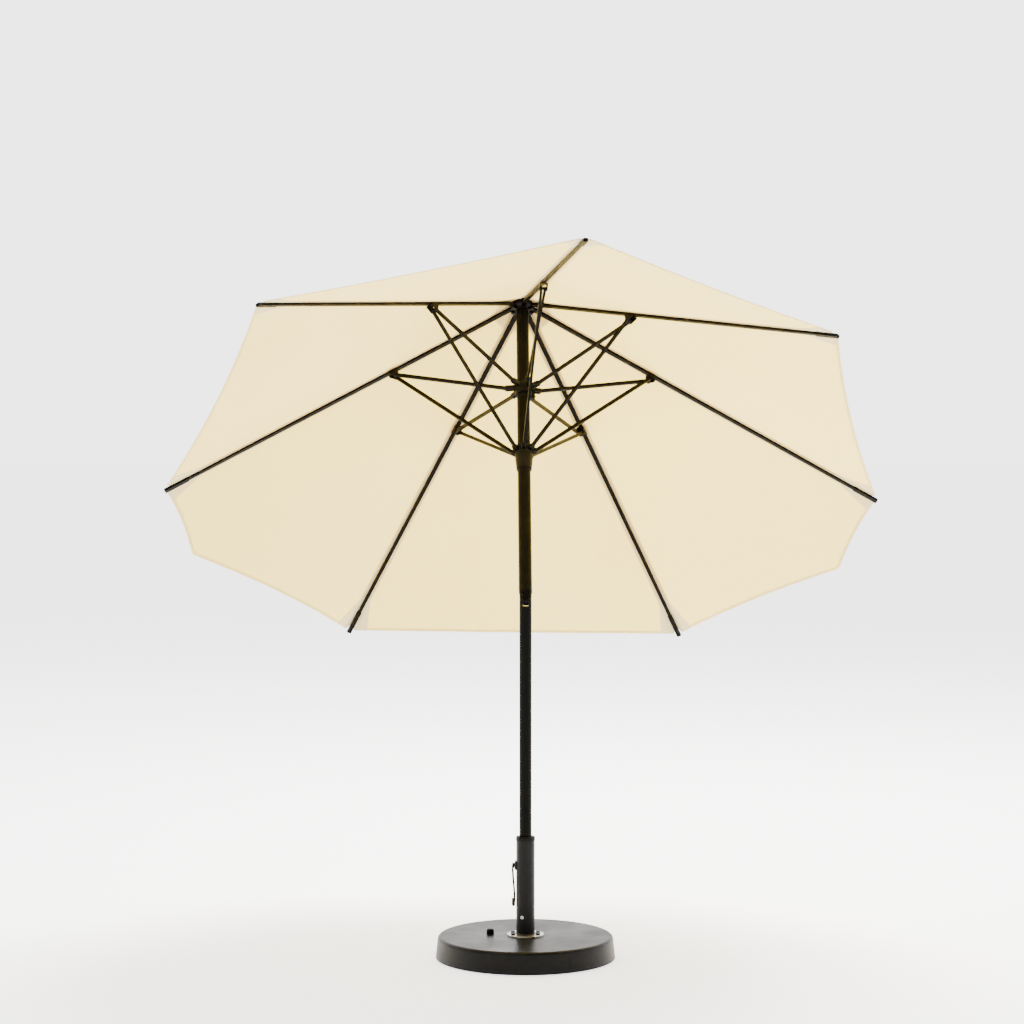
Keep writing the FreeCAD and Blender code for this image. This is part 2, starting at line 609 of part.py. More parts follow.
# ---- ribs: built along X from the hub pin, then sloped ----
def sloped(shape):
    shape = shape.copy()
    shape.rotate(V(0, 0, 0), V(0, 1, 0), RIB_SLOPE)
    shape.translate(V(HUB_PIN_RADIUS, 0, 0))
    return shape


def section(x, width, depth):
    y, z = width / 2, depth / 2
    return Part.makePolygon([V(x, -y, -z), V(x, y, -z), V(x, y, z), V(x, -y, z), V(x, -y, -z)])


def rib_share(x):
    """Rib width and depth at x along it."""
    share = x / RIB_LENGTH
    return (RIB_WIDTH + (RIB_TIP_WIDTH - RIB_WIDTH) * share,
            RIB_DEPTH + (RIB_TIP_DEPTH - RIB_DEPTH) * share)


def tapered(start, end, grow):
    """The rib's own taper between start and end, grown on every side."""
    ends = []
    for x in (start, end):
        width, depth = rib_share(x)
        ends.append(section(x, width + 2 * grow, depth + 2 * grow))
    return Part.makeLoft(ends, True)


def rib():
    tube_end = RIB_LENGTH - TIP_CAP_WALL
    body = tapered(0, tube_end, 0).cut(tapered(RIB_ROOT, tube_end + 1, -RIB_WALL))
    body = body.fuse(cross_pin(RIB_DEPTH / 2, -RIB_WIDTH / 2, RIB_WIDTH / 2, 0, 0))
    body = body.cut(cross_pin(PIN_RADIUS + PIN_GAP, -RIB_WIDTH, RIB_WIDTH, 0, 0))
    return sloped(body.removeSplitter())


def rib_bracket():
    """A saddle under the rib with two cheeks and the strut pin's rivet."""
    width, depth = rib_share(BRACKET_ALONG)
    x, top = BRACKET_ALONG, -depth / 2
    outer = CHEEK_INNER + CHEEK
    low, high = x - BRACKET_HALF, x + BRACKET_HALF
    body = block(low, high, -outer, outer, top - SADDLE_THICKNESS, top - 0.1)
    for hand in (-1, 1):
        y0, y1 = sorted((hand * CHEEK_INNER, hand * outer))
        cheek = plate([(low, top - 0.1), (low, top - SADDLE_THICKNESS - 2), (x - LUG_HALF, -BRACKET_DROP),
                       (x + LUG_HALF, -BRACKET_DROP), (high, top - SADDLE_THICKNESS - 2), (high, top - 0.1)], y0, y1)
        cheek = cheek.fuse(cross_pin(LUG_HALF, y0, y1, x, -BRACKET_DROP))
        clip0, clip1 = sorted((hand * (width / 2 + 0.1), hand * (width / 2 + 2.1)))
        clip = block(low + 6, high - 6, clip0, clip1, top - 1, depth / 2 - 1)
        body = body.fuse(cheek).fuse(clip)
    spacer = cross_pin(EYE_RADIUS - 1, -STRUT_SIDE + STRUT_WIDTH / 2 + SIDE_GAP,
                       STRUT_SIDE - STRUT_WIDTH / 2 - SIDE_GAP, x, -BRACKET_DROP)
    pin = cross_pin(PIN_RADIUS, -outer, outer, x, -BRACKET_DROP)
    heads = cross_pin(RIVET_HEAD_RADIUS, outer, outer + RIVET_HEAD, x, -BRACKET_DROP)
    heads = heads.fuse(cross_pin(RIVET_HEAD_RADIUS, -outer - RIVET_HEAD, -outer, x, -BRACKET_DROP))
    return sloped(body.fuse(spacer).fuse(pin).fuse(heads))


def tip_cap():
    """A sleeve over the rib's end that the canopy's pocket slips onto."""
    start, end = RIB_LENGTH - TIP_CAP_LENGTH, RIB_LENGTH
    shell = tapered(start, end, TIP_CAP_WALL).cut(tapered(start - 1, end - TIP_CAP_WALL + 0.1, 0.05))
    return sloped(shell)


# ---- struts: in the plane of one rib ----
def strut(pin_radius, drop, side):
    length = strut_length(pin_radius, drop)
    half, depth = STRUT_WIDTH / 2, STRUT_DEPTH / 2
    body = block(0, length, -half, half, -depth, depth)
    hollow = block(STRUT_END, length - STRUT_END, -half + STRUT_WALL, half - STRUT_WALL,
                   -depth + STRUT_WALL, depth - STRUT_WALL)
    body = body.cut(hollow)
    for x in (0, length):
        body = body.fuse(cross_pin(depth, -half, half, x, 0))
    body = body.removeSplitter()
    body = body.cut(cross_pin(PIN_RADIUS + PIN_GAP, -half - 1, half + 1, 0, 0))
    body = body.cut(cross_pin(PIN_RADIUS + SIDE_GAP, -half - 1, half + 1, length, 0))
    body.rotate(V(0, 0, 0), V(0, 1, 0), 180 - math.degrees(strut_slope(SLOPE, pin_radius, drop)))
    radius, height = strut_pin(SLOPE)
    body.translate(V(radius, side * STRUT_SIDE, height))
    return body


# ---- canopy: one sector to each rib, folded along it, level across to the panels' middle lines ----
def panel_turns(number, hand):
    """Turns of a sector's own rib and of the next rib on that hand, in the order of the panel."""
    first, second = (number, number + 1) if hand > 0 else (number - 1, number)
    start, end = RIB_TURNS[first % RIBS], RIB_TURNS[second % RIBS]
    return first % RIBS, start, end + 360 if end < start else end


def panel_half_turn(number, hand):
    _, start, end = panel_turns(number, hand)
    return math.radians((end - start) / 2)


def cloth_lift():
    """Cloth over the middle of a rib: clear of the tip cap's corners, where it falls away fastest."""
    widest = max(panel_half_turn(number, 1) for number in range(RIBS))
    corner = RIB_TIP_WIDTH / 2 + TIP_CAP_WALL
    top = RIB_DEPTH / 2 + CLOTH_OVER_RIB
    return top / math.cos(SLOPE) + max(corner, RIB_WIDTH / 2) * math.tan(widest) * math.tan(SLOPE)


def cloth_height(radius):
    """Underside of the cloth over a rib."""
    return -(radius - HUB_PIN_RADIUS) * math.tan(SLOPE) + cloth_lift()


def rim_corners(number, hand):
    """(along the panel's middle line, across it) of the rim's corners, from the rib to the middle line."""
    first, start, end = panel_turns(number, hand)
    half = panel_half_turn(number, hand)
    tip = (RIM_RADIUS * math.cos(half), RIM_RADIUS * math.sin(half))
    if first not in FREE_CORNERS:
        return [tip, (tip[0], PANEL_GAP)]
    turn = math.radians(FREE_CORNERS[first] - start if hand > 0 else end - FREE_CORNERS[first])
    along, across = RIM_RADIUS * math.cos(half - turn), RIM_RADIUS * math.sin(half - turn)
    if across > 0:
        share = across / (across + tip[1])
        return [tip, (along, across), (along + (tip[0] - along) * share, PANEL_GAP)]
    share = tip[1] / (tip[1] - across)
    return [tip, (tip[0] + (along - tip[0]) * share, PANEL_GAP)]


def half_panel(number, hand):
    """The cloth from one rib to the middle line of its panel: a steep crown piece and the long flat piece."""
    half = panel_half_turn(number, hand)
    cos, sin = math.cos(half), math.sin(half)

    def cloth(corners):
        points = []
        for along, across in corners:
            radius = along / cos
            height = cloth_height(radius)
            if radius < CLOTH_KNEE - 1:
                height = CROWN_CLOTH_UP
            points.append(V(along * cos + across * sin, hand * (along * sin - across * cos), height))
        return Part.Face(Part.makePolygon(points + points[:1])).extrude(V(0, 0, CLOTH))

    knee = [(CLOTH_KNEE * cos, PANEL_GAP), (CLOTH_KNEE * cos, CLOTH_KNEE * sin)]
    crown = [(CROWN_HOLE * cos, CROWN_HOLE * sin), (CROWN_HOLE * cos, PANEL_GAP)]
    return cloth(knee + rim_corners(number, hand)).fuse(cloth(knee + crown))


def canopy_sector(number):
    return half_panel(number, 1).fuse(half_panel(number, -1))


def main():
    os.makedirs("parts", exist_ok=True)
    save("base_cover", base_cover())
    save("base_floor", base_floor())
    save("sand_fill", sand_fill())
    save("base_feet", *base_feet())
    save("mount_plate", mount_plate())
    save("plate_bolts", *plate_bolts())
    save("base_tube", base_tube())
    save("tube_screw", tube_screw())
    save("clamp_lever", clamp_lever())
    save("filler_plug", filler_plug())
    save("pole_bush", pole_bush())
    save("lower_pole", lower_pole())
    save("pole_foot_cap", pole_foot_cap())
    save("tilt_socket", tilt_socket())
    save("tilt_pin", tilt_pin())
    save("tilt_knuckle", tilt_knuckle())
    save("tilt_button", tilt_button())
    save("upper_pole", upper_pole())
    save("crown_hub", crown_hub())
    save("hub_pins", *hub_pins())
    save("finial", finial())
    save("upper_collar", upper_collar())
    save("collar_latch", collar_latch())
    save("lower_collar", lower_collar())
    save("runner_skirt", runner_skirt())
    rib_solid, bracket, cap = rib(), rib_bracket(), tip_cap()
    upper = strut(UPPER_PIN_RADIUS, UPPER_COLLAR_DROP, 1)
    lower = strut(LOWER_PIN_RADIUS, LOWER_COLLAR_DROP, -1)
    for number in range(RIBS):
        name = str(number + 1)
        save("rib_" + name, leaned(at_rib(rib_solid, number)))
        save("rib_fittings_" + name, leaned(at_rib(bracket, number)), leaned(at_rib(cap, number)))
        save("strut_upper_" + name, leaned(at_rib(upper, number)))
        save("strut_lower_" + name, leaned(at_rib(lower, number)))
        save("canopy_" + name, leaned(at_rib(canopy_sector(number), number)))


main()
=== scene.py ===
import json
import math

import bpy
from mathutils import Matrix, Vector


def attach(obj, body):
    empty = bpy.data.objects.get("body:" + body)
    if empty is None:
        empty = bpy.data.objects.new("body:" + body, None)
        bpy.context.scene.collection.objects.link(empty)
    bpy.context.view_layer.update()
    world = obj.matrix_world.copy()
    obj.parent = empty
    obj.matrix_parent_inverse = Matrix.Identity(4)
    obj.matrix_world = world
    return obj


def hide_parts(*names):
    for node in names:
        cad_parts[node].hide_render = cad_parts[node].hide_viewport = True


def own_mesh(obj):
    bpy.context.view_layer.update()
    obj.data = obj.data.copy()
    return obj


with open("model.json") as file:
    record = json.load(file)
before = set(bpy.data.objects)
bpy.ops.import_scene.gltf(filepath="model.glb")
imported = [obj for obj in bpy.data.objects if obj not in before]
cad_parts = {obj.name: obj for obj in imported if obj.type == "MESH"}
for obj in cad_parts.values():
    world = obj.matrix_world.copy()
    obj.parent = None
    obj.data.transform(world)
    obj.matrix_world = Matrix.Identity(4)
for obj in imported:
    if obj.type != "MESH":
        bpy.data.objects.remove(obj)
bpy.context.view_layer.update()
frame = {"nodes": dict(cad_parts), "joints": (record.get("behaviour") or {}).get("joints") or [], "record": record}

# Garden umbrella: the cloth, its seams and hems, and every finish. Metres.
# The cloth is made in the plane of each rib (outwards, sideways, up) and then put in its place on the frame.

# ---- sizes the cloth shares with the frame ----
PIN_CIRCLE = 0.040          # rib pins, from the pole's middle
RIM = 1.350                 # rib tips, from the pole's middle
SLOPE = math.radians(30)    # ribs below level when open
FOLD = math.radians(56)     # turn of a rib from open to folded
CROWN_HOLE = 0.022
CROWN_RISE = 0.034
KNEE = 0.190
CLOTH_LIFT = 0.0109         # cloth over the middle of a rib

# ---- cloth ----
CLOTH = 0.0010
RIDGE = 0.008               # how softly the cloth goes over a rib
SAG = 0.010                 # middle of a panel below its flat plane
NOTCH_HALF = 0.020          # gap in the rim at a rib's tip
NOTCH_DEEP = 0.040
HEM = 0.010
TAPE = 0.024                # seam tape each side of a rib
PATCH_LONG = 0.200
PATCH_WIDE = 0.074
CROWN_PATCH = (0.034, 0.120)   # radii of the second layer of cloth round the finial
UNDER = 0.0008              # each layer below the one it is sewn to
PLEAT = 0.018               # folded, the middle of a panel outside the line from rib to rib
FOLDED_GAP = 0.002
FREE_CORNERS = {2: math.radians(16), 4: math.radians(38.5)}   # turn past the panel's first rib
SCOOPS = (0.010, 0.026, 0.020, 0.004, 0.022, 0.034, 0.012)   # depth of each panel's rim curve

TAPE_START = 0.052          # inner end of each seam tape, from the pole's middle
NEAR_COLUMNS = (0.025, 0.031, 0.038)   # columns of the cloth past the notch, from the rib
SAG_ARC = math.pi * 0.75    # deepest at two thirds of the rib, and seven tenths of that at the rim

ROWS, COLUMNS = 44, 22
CUT_STEPS = 60              # points along the rim when the cloth is laid flat


# ---- where the ribs are ----
def joint(name):
    return next(j for j in frame["joints"] if j["name"] == name)


UP = -Vector(joint("canopy_fold")["axis"]).normalized()


class Rib:
    def __init__(self, number):
        hinge = joint("rib_%d_fold" % number)
        self.number = number
        self.body = "rib_%d" % number
        self.tangent = Vector(hinge["axis"]).normalized()
        self.outward = self.tangent.cross(UP).normalized()
        self.centre = Vector(hinge["pos_m"]) - self.outward * PIN_CIRCLE

    def place(self, point, hand=1):
        """From the plane of the rib to the umbrella."""
        x, y, z = point
        return self.centre + self.outward * x + self.tangent * (hand * y) + UP * z

    def direction(self, vector, hand=1):
        x, y, z = vector
        return self.outward * x + self.tangent * (hand * y) + UP * z


RIBS = [Rib(number) for number in range(1, 8)]
CROWN = RIBS[0].centre


def angle_to(first, second):
    turn = math.atan2(first.tangent.cross(second.tangent).dot(UP), first.tangent.dot(second.tangent))
    return turn % (2 * math.pi)


PANEL_TURNS = [angle_to(RIBS[k], RIBS[(k + 1) % 7]) for k in range(7)]


# ---- the cloth's shape, in the plane of one rib ----
class HalfPanel:
    """The cloth from one rib to the middle line of the panel beside it."""

    def __init__(self, index, hand):
        self.rib = RIBS[index]
        self.hand = hand
        self.side = "left" if hand > 0 else "right"
        self.panel = index if hand > 0 else (index - 1) % 7
        self.half = PANEL_TURNS[self.panel] / 2
        self.cos, self.sin = math.cos(self.half), math.sin(self.half)
        self.width = RIM * self.sin
        self.edges = self.rim_edges()

    def rim_edges(self):
        """Straight edges of the rim, tip to tip. A corner is (along the middle line, across it)."""
        tip, other = (RIM * self.cos, self.width), (RIM * self.cos, -self.width)
        if self.panel not in FREE_CORNERS:
            return [(tip, other)]
        turn = FREE_CORNERS[self.panel]
        if self.hand < 0:
            turn = 2 * self.half - turn
        corner = (RIM * math.cos(self.half - turn), RIM * math.sin(self.half - turn))
        return [(tip, corner), (corner, other)]

    def rim(self, share):
        """Radius, along the rib, of the rim at this share of the way from the rib to the middle line."""
        ray = Vector((self.cos, (1 - share) * self.sin))
        for first, second in self.edges:
            start, step = Vector(first), Vector(second) - Vector(first)
            turn = ray.x * step.y - ray.y * step.x
            t = -(ray.x * start.y - ray.y * start.x) / turn
            if -1e-6 <= t <= 1 + 1e-6:
                scoop = SCOOPS[self.panel] * 4 * t * (1 - t) * math.sqrt(step.length / (2 * self.width))
                radius = (start.x + t * step.x) / self.cos - scoop
                beside = share * self.width
                return radius - NOTCH_DEEP * max(0.0, 1 - beside / NOTCH_HALF)
        raise ValueError("the rim has a gap")

    def cut_size(self):
        """Width, length and area of the cloth laid flat."""
        corners = []
        for step in range(CUT_STEPS + 1):
            share = step / CUT_STEPS
            radius = self.rim(share)
            corners.append((radius * self.cos / math.cos(SLOPE), (1 - share) * radius * self.sin))
        doubled = sum(b[0] * a[1] - a[0] * b[1] for a, b in zip(corners, corners[1:]))
        return max(across for _, across in corners), max(along for along, _ in corners), doubled / 2

    def point(self, radius, share, down=0.0):
        along, across = radius * self.cos, (1 - share) * radius * self.sin
        x = along * self.cos + across * self.sin
        y = along * self.sin - across * self.cos
        crown = max(0.0, 1 - (radius - CROWN_HOLE) / (KNEE - CROWN_HOLE))
        top = CROWN_RISE - cloth_line(CROWN_HOLE)
        z = cloth_line(radius) + top * crown ** 2
        soft = RIDGE * min(1.0, radius / KNEE)
        z -= math.tan(self.half) * math.tan(SLOPE) * (math.hypot(y, soft) - y)
        z -= SAG * share * (2 - share) * math.sin(SAG_ARC * min(1.0, radius / RIM))
        return x, y, z - down

    def fold_axis(self):
        """Direction, fixed point and share of its width that the half panel keeps. With the umbrella folded,
        its middle line then meets the next half's, a little outside the line from rib to rib."""
        pin = Vector((PIN_CIRCLE, 0, 0))
        turn = Matrix.Rotation(FOLD, 3, "Y")
        anchor = Vector((PIN_CIRCLE, 0, CLOTH_LIFT))
        on_rib = turn @ (Vector((RIM, 0, cloth_line(RIM))) - pin) + pin
        middle = Vector(self.middle_line(RIM))
        folded = turn @ (middle - pin) + pin
        reach = (on_rib.x * self.cos + PLEAT) * self.cos
        inwards = (folded.x - reach) / math.sin(SLOPE + FOLD)
        sideways = middle.y - (reach * self.sin / self.cos - FOLDED_GAP)
        move = Vector((inwards * math.sin(SLOPE), sideways, inwards * math.cos(SLOPE)))
        axis = move.normalized()
        return axis, anchor, 1 - move.length / (middle - anchor).dot(axis)

    def middle_line(self, radius):
        """The point of the panel's middle line at this radius, before the cloth sags."""
        along = radius * self.cos
        return along * self.cos, along * self.sin, cloth_line(radius)


def cloth_line(radius):
    """Height of the cloth over a rib."""
    return CLOTH_LIFT - (radius - PIN_CIRCLE) * math.tan(SLOPE)


# ---- making pieces ----
def start_clean():
    if bpy.context.object and bpy.context.object.mode != "OBJECT":
        bpy.ops.object.mode_set(mode="OBJECT")
    bpy.ops.object.select_all(action="DESELECT")


def lay_cloth(name, rows, columns, where, size, thickness, up):
    """A grid of cloth, then given its thickness. where(row share, column share) is each corner's place, and
    size(row share, column share) is its place in the cut cloth, in metres, kept as its UV."""
    start_clean()
    bpy.ops.mesh.primitive_grid_add(x_subdivisions=columns, y_subdivisions=rows, size=2, location=(0, 0, 0))
    piece = bpy.context.object
    piece.name = name
    mesh = piece.data
    shares = [((v.co.y + 1) / 2, (v.co.x + 1) / 2) for v in mesh.vertices]
    layer = mesh.uv_layers.active or mesh.uv_layers.new(name="cut")
    for loop in mesh.loops:
        layer.data[loop.index].uv = size(*shares[loop.vertex_index])
    for vertex, (row, column) in zip(mesh.vertices, shares):
        vertex.co = where(row, column)
    piece.select_set(True)
    bpy.ops.object.mode_set(mode="EDIT")
    bpy.ops.mesh.select_all(action="SELECT")
    bpy.ops.mesh.normals_make_consistent(inside=False)
    bpy.ops.object.mode_set(mode="OBJECT")
    facing = sum((p.normal.dot(UP) * p.area for p in mesh.polygons), 0.0)
    if (facing > 0) != up:
        mesh.flip_normals()
    solid = piece.modifiers.new("Thickness", "SOLIDIFY")
    solid.thickness, solid.offset = thickness, 1
    bpy.ops.object.modifier_apply(modifier=solid.name)
    bpy.ops.object.shade_smooth_by_angle(angle=math.radians(40))
    return piece


def spread(values, share):
    """Value at this share of a list of evenly spaced values."""
    place = share * (len(values) - 1)
    low = min(int(place + 1e-9), len(values) - 2)
    return values[low] + (values[low + 1] - values[low]) * (place - low)


def column_shares(width):
    """Columns close together at the rib, for the notch in the rim, then even ones to the middle line."""
    near = [NOTCH_HALF * step / 5 for step in range(6)] + list(NEAR_COLUMNS)
    last, count = near[-1], COLUMNS - len(near)
    near += [last + (width - last) * (n + 1) / (count + 1) for n in range(count + 1)]
    return [value / width for value in near]


def put(half, point):
    return half.rib.place(point, half.hand)


def make_cloth(half):
    shares = column_shares(half.width)

    def where(row, column):
        share = spread(shares, column)
        radius = CROWN_HOLE + (half.rim(share) - CROWN_HOLE) * row
        return put(half, half.point(radius, share))

    def size(row, column):
        share = spread(shares, column)
        radius = CROWN_HOLE + (half.rim(share) - CROWN_HOLE) * row
        return half.hand * (1 - share) * radius * half.sin, radius * half.cos / math.cos(SLOPE)

    name = "cloth_%s_%d" % (half.side, half.rib.number)
    return lay_cloth(name, ROWS, COLUMNS, where, size, CLOTH, True)


def make_hem(half):
    first = (NOTCH_HALF + 0.001) / half.width
    inner = HEM / math.cos(SLOPE)

    def where(row, column):
        share = first + (1 - first) * column
        radius = half.rim(share) - 0.0004 - inner * 0.85 * (1 - row)
        return put(half, half.point(radius, share, UNDER * 0.4))

    def size(row, column):
        share = first + (1 - first) * column
        return HEM * (1 - row), half.hand * share * half.width

    return lay_cloth("hem_%s_%d" % (half.side, half.rib.number), 4, 40, where, size, UNDER, False)


def make_tape(half):
    def where(row, column):
        beside = TAPE * column
        end = half.rim(beside / half.width) - 0.001
        radius = TAPE_START + (end - TAPE_START) * row
        return put(half, half.point(radius, beside / (radius * half.sin), UNDER * 0.4))

    def size(row, column):
        return TAPE * column, row * (RIM - TAPE_START) / math.cos(SLOPE)

    return lay_cloth("seam_tape_%s_%d" % (half.side, half.rib.number), 40, 5, where, size, UNDER, False)


def make_patch(half):
    def where(row, column):
        reach = 0.004 + (PATCH_WIDE - 0.004) * row
        beside = reach * column
        end = half.rim(beside / half.width) - 0.0008
        radius = end - PATCH_LONG * math.cos(SLOPE) * (1 - row)
        return put(half, half.point(radius, beside / (radius * half.sin), UNDER * 1.5))

    def size(row, column):
        return PATCH_WIDE * row * column, PATCH_LONG * row

    return lay_cloth("tip_patch_%s_%d" % (half.side, half.rib.number), 10, 8, where, size, UNDER, False)


def make_crown_patch(half):
    start, end = CROWN_PATCH

    def where(row, column):
        return put(half, half.point(start + (end - start) * row, column, -CLOTH - 0.0002))

    def size(row, column):
        radius = start + (end - start) * row
        return end - radius, column * radius * half.half

    return lay_cloth("crown_patch_%s_%d" % (half.side, half.rib.number), 8, 12, where, size, UNDER, True)


# ---- finishes ----
def finish_nodes(name):
    made = bpy.data.materials.new(name)
    made.use_nodes = True
    nodes, links = made.node_tree.nodes, made.node_tree.links
    return made, nodes, links, nodes["Principled BSDF"], nodes["Material Output"]


def noise(nodes, links, source, scale, detail, stretch=(1, 1, 1)):
    mapping = nodes.new("ShaderNodeMapping")
    mapping.inputs["Scale"].default_value = stretch
    links.new(source, mapping.inputs["Vector"])
    texture = nodes.new("ShaderNodeTexNoise")
    texture.inputs["Scale"].default_value = scale
    texture.inputs["Detail"].default_value = detail
    links.new(mapping.outputs["Vector"], texture.inputs["Vector"])
    return texture.outputs["Fac"]


def ranged(nodes, links, source, low, high, start=0.3, end=0.7):
    node = nodes.new("ShaderNodeMapRange")
    node.inputs["From Min"].default_value = start
    node.inputs["From Max"].default_value = end
    node.inputs["To Min"].default_value = low
    node.inputs["To Max"].default_value = high
    links.new(source, node.inputs["Value"])
    return node.outputs["Result"]


def blended(nodes, links, factor, first, second):
    node = nodes.new("ShaderNodeMix")
    node.data_type = "RGBA"
    links.new(factor, node.inputs["Factor"])
    for socket, value in ((node.inputs[6], first), (node.inputs[7], second)):
        if isinstance(value, tuple):
            socket.default_value = (*value, 1)
        else:
            links.new(value, socket)
    return node.outputs[2]


def bumped(nodes, links, height, strength, distance, below=None):
    node = nodes.new("ShaderNodeBump")
    node.inputs["Strength"].default_value = strength
    node.inputs["Distance"].default_value = distance
    links.new(height, node.inputs["Height"])
    if below is not None:
        links.new(below, node.inputs["Normal"])
    return node.outputs["Normal"]


def maths(nodes, links, operation, first, second=None):
    node = nodes.new("ShaderNodeMath")
    node.operation = operation
    for socket, value in zip(node.inputs, (first, second)):
        if value is None:
            continue
        if isinstance(value, (int, float)):
            socket.default_value = value
        else:
            links.new(value, socket)
    return node.outputs[0]


def powder_coat(name, colour, worn, rough, shine=0.14, grain=900.0):
    """Satin powder coat: fine orange peel, patches a little duller, and sparse rubbed spots."""
    made, nodes, links, shader, _ = finish_nodes(name)
    shader.inputs["Specular IOR Level"].default_value = shine
    place = nodes.new("ShaderNodeTexCoord").outputs["Object"]
    patches = noise(nodes, links, place, 7.0, 3.0)
    rubbed = ranged(nodes, links, noise(nodes, links, place, 60.0, 6.0), 0.0, 1.0, 0.66, 0.74)
    lighter = tuple(c * 1.25 for c in colour)
    tone = blended(nodes, links, ranged(nodes, links, patches, 0.0, 1.0), colour, lighter)
    links.new(blended(nodes, links, rubbed, tone, worn), shader.inputs["Base Color"])
    links.new(ranged(nodes, links, patches, rough - 0.05, rough + 0.07), shader.inputs["Roughness"])
    peel = bumped(nodes, links, noise(nodes, links, place, grain, 2.0), 0.18, 0.0004)
    links.new(peel, shader.inputs["Normal"])
    return made


def moulded(name, colour, rough, shine=0.14):
    """Moulded plastic with a fine spark-eroded grain and faint flow marks."""
    made, nodes, links, shader, _ = finish_nodes(name)
    shader.inputs["Specular IOR Level"].default_value = shine
    place = nodes.new("ShaderNodeTexCoord").outputs["Object"]
    flow = noise(nodes, links, place, 18.0, 3.0, (1, 1, 0.3))
    lighter = tuple(c * 1.5 for c in colour)
    tone = blended(nodes, links, ranged(nodes, links, flow, 0.0, 1.0), colour, lighter)
    links.new(tone, shader.inputs["Base Color"])
    links.new(ranged(nodes, links, flow, rough - 0.06, rough + 0.08), shader.inputs["Roughness"])
    grain = bumped(nodes, links, noise(nodes, links, place, 1500.0, 2.0), 0.25, 0.0003)
    links.new(grain, shader.inputs["Normal"])
    return made


def turned_steel(name):
    """Bright zinc-plated steel with the rings that turning leaves."""
    made, nodes, links, shader, _ = finish_nodes(name)
    shader.inputs["Metallic"].default_value = 1.0
    place = nodes.new("ShaderNodeTexCoord").outputs["Object"]
    rings = nodes.new("ShaderNodeTexWave")
    rings.wave_type, rings.rings_direction = "RINGS", "Z"
    rings.inputs["Scale"].default_value = 90.0
    rings.inputs["Distortion"].default_value = 0.6
    links.new(place, rings.inputs["Vector"])
    cloudy = noise(nodes, links, place, 25.0, 4.0)
    dull, bright = (0.30, 0.29, 0.275), (0.48, 0.47, 0.45)
    tone = blended(nodes, links, ranged(nodes, links, cloudy, 0.0, 1.0), dull, bright)
    links.new(tone, shader.inputs["Base Color"])
    links.new(ranged(nodes, links, cloudy, 0.22, 0.42), shader.inputs["Roughness"])
    links.new(bumped(nodes, links, rings.outputs["Fac"], 0.25, 0.0002), shader.inputs["Normal"])
    return made


def threads(nodes, links, across, pitch):
    """One set of yarns, as rounded ridges at this pitch."""
    turn = maths(nodes, links, "MULTIPLY", across, 2 * math.pi / pitch)
    return maths(nodes, links, "ABSOLUTE", maths(nodes, links, "SINE", turn))


def woven(name, colour, shade, through, share, pitch=0.0011, stitch_at=None):
    """Plain-woven polyester that lets light through. A row of stitches runs stitch_at in from its edge."""
    made, nodes, links, shader, output = finish_nodes(name)
    shader.inputs["Roughness"].default_value = 0.85
    shader.inputs["Specular IOR Level"].default_value = 0.25
    shader.inputs["Sheen Weight"].default_value = 0.25
    shader.inputs["Sheen Roughness"].default_value = 0.5
    source = nodes.new("ShaderNodeTexCoord")
    split = nodes.new("ShaderNodeSeparateXYZ")
    links.new(source.outputs["UV"], split.inputs[0])
    warp = threads(nodes, links, split.outputs[0], pitch)
    weft = threads(nodes, links, split.outputs[1], pitch)
    weave = maths(nodes, links, "MULTIPLY", warp, weft)
    clouds = noise(nodes, links, source.outputs["Object"], 2.2, 3.0)
    slubs = noise(nodes, links, source.outputs["UV"], 160.0, 3.0, (1, 0.12, 1))
    tone = blended(nodes, links, ranged(nodes, links, clouds, 0.0, 1.0), colour, shade)
    tone = blended(nodes, links, ranged(nodes, links, slubs, 0.0, 0.35, 0.45, 0.7), tone, shade)
    height = maths(nodes, links, "ADD", weave, maths(nodes, links, "MULTIPLY", slubs, 0.5))
    if stitch_at is not None:
        off = maths(nodes, links, "ABSOLUTE", maths(nodes, links, "SUBTRACT", split.outputs[0], stitch_at))
        line = maths(nodes, links, "LESS_THAN", off, 0.0007)
        step = maths(nodes, links, "FRACT", maths(nodes, links, "MULTIPLY", split.outputs[1], 1 / 0.0042))
        stitch = maths(nodes, links, "MULTIPLY", line, maths(nodes, links, "LESS_THAN", step, 0.68))
        tone = blended(nodes, links, stitch, tone, tuple(c * 0.62 for c in shade))
        height = maths(nodes, links, "ADD", height, maths(nodes, links, "MULTIPLY", stitch, 3.0))
    links.new(tone, shader.inputs["Base Color"])
    soft = noise(nodes, links, source.outputs["UV"], 5.0, 2.0, (1.6, 0.5, 1))
    normal = bumped(nodes, links, soft, 0.16, 0.02)
    normal = bumped(nodes, links, height, 0.22, 0.0004, normal)
    links.new(normal, shader.inputs["Normal"])
    behind = nodes.new("ShaderNodeBsdfTranslucent")
    behind.inputs["Color"].default_value = (*through, 1)
    links.new(normal, behind.inputs["Normal"])
    both = nodes.new("ShaderNodeMixShader")
    both.inputs["Fac"].default_value = share
    links.new(shader.outputs[0], both.inputs[1])
    links.new(behind.outputs[0], both.inputs[2])
    links.new(both.outputs[0], output.inputs["Surface"])
    return made


